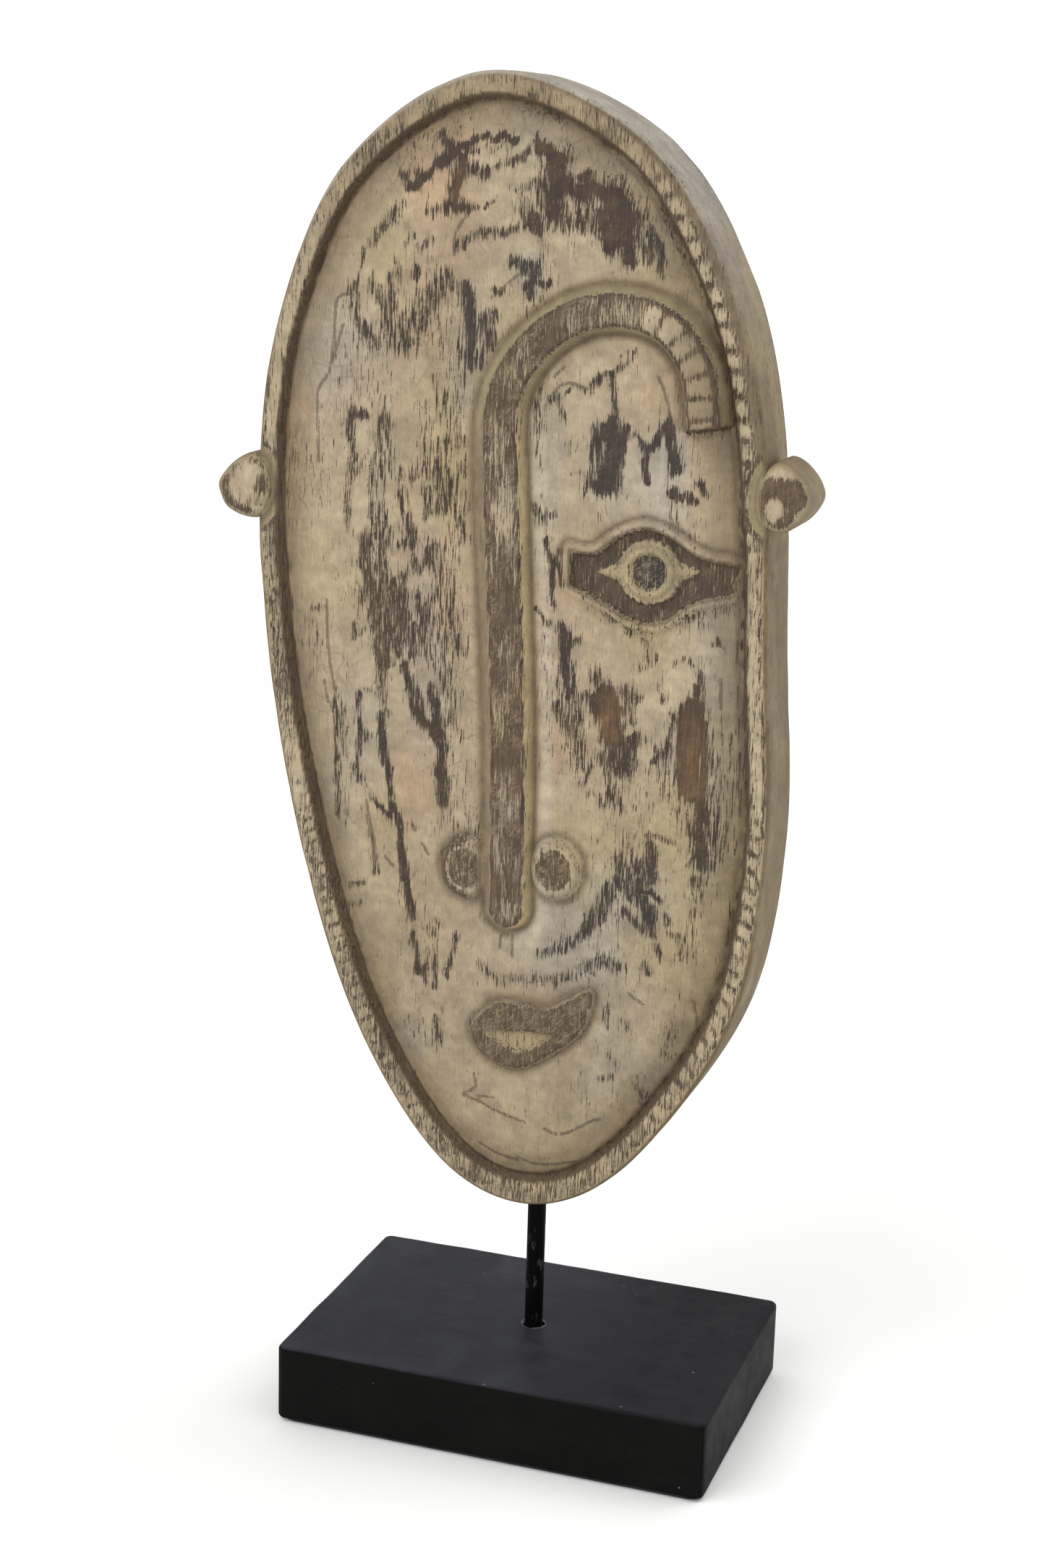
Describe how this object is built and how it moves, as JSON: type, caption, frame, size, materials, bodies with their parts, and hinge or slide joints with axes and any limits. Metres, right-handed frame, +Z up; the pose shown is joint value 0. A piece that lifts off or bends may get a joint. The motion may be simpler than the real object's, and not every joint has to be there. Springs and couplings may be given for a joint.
{
  "type": "carved wooden mask on stand",
  "caption": "Tall egg-shaped carved wooden mask with an arched brow and nose, one open eye and ear knobs, carried on a steel rod in a black rectangular block.",
  "frame": {"origin": "on the ground under the support rod, in the middle of the felt sheet's underside", "axes": "+Z up along the support rod, +X to the viewer's right along the long side of the base, and the mask faces -Y"},
  "size_m": [0.316, 0.16, 0.7128],
  "materials": {
    "whitewashed_wood": "worn cream whitewash over dark brown stain, matt",
    "black_painted_wood": "satin black paint, lightly worn",
    "black_painted_steel": "satin black paint with small chips",
    "zinc_plated_steel": "dull zinc plate",
    "black_felt": "short felt"
  },
  "bodies": {
    "stand": {"base_block": "black_painted_wood", "felt_sheet": "black_felt"},
    "rod": {"support_rod": "black_painted_steel", "rod_washer": "zinc_plated_steel", "rod_nut": "zinc_plated_steel"},
    "mask": {"mask": "whitewashed_wood"}
  },
  "joints": [
    {"name": "rod_swivel", "type": "hinge", "parent": "stand", "child": "rod", "pos_m": [0, 0, 0.0438], "axis": [0, 0, 1], "continuous": true},
    {"name": "mask_lift_off", "type": "slide", "parent": "rod", "child": "mask", "axis": [0, 0, 1], "range_m": [0, 0.07]}
  ]
}
